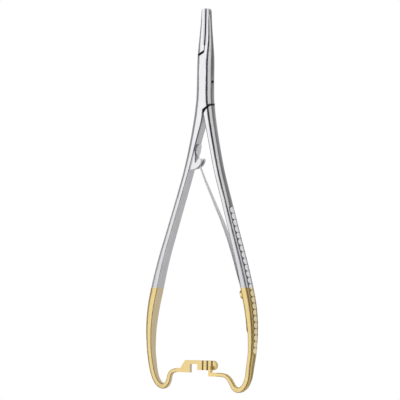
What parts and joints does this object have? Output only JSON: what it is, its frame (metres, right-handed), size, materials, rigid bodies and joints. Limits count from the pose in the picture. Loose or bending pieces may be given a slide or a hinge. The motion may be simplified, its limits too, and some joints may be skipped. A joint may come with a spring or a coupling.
{
  "type": "surgical needle holder",
  "caption": "Palm-grip needle holder with a box joint, carbide jaw inserts, a leaf spring, ribbed handles and an end ratchet.",
  "frame": {"origin": "on the axis of the joint, in the plane that the instrument's back lies on", "axes": "+Y along the instrument towards the jaw tips, +X to the right seen from the front, +Z out of the front face"},
  "size_m": [0.0544, 0.1699, 0.0063],
  "materials": {
    "satin_steel": "satin ground steel, gold plated below the grips' upper third",
    "carbide": "dull grey carbide with a fine cross-cut pattern",
    "spring_steel": "smooth spring steel",
    "gold_plate": "satin gold plating"
  },
  "bodies": {
    "box_side": {"box_half": "satin_steel", "box_jaw_insert": "carbide", "pivot_pin": "satin_steel"},
    "tenon_side": {"tenon_half": "satin_steel", "tenon_jaw_insert": "carbide", "leaf_spring": "spring_steel", "spring_screw": "gold_plate"}
  },
  "joints": [
    {"name": "box_joint", "type": "hinge", "parent": "box_side", "child": "tenon_side", "pos_m": [0, 0, 0], "axis": [0, 0, 1], "range_deg": [0, 16], "stiffness_Nm_per_rad": 0.3, "springref_deg": 24.06, "deforming": ["leaf_spring"]}
  ]
}
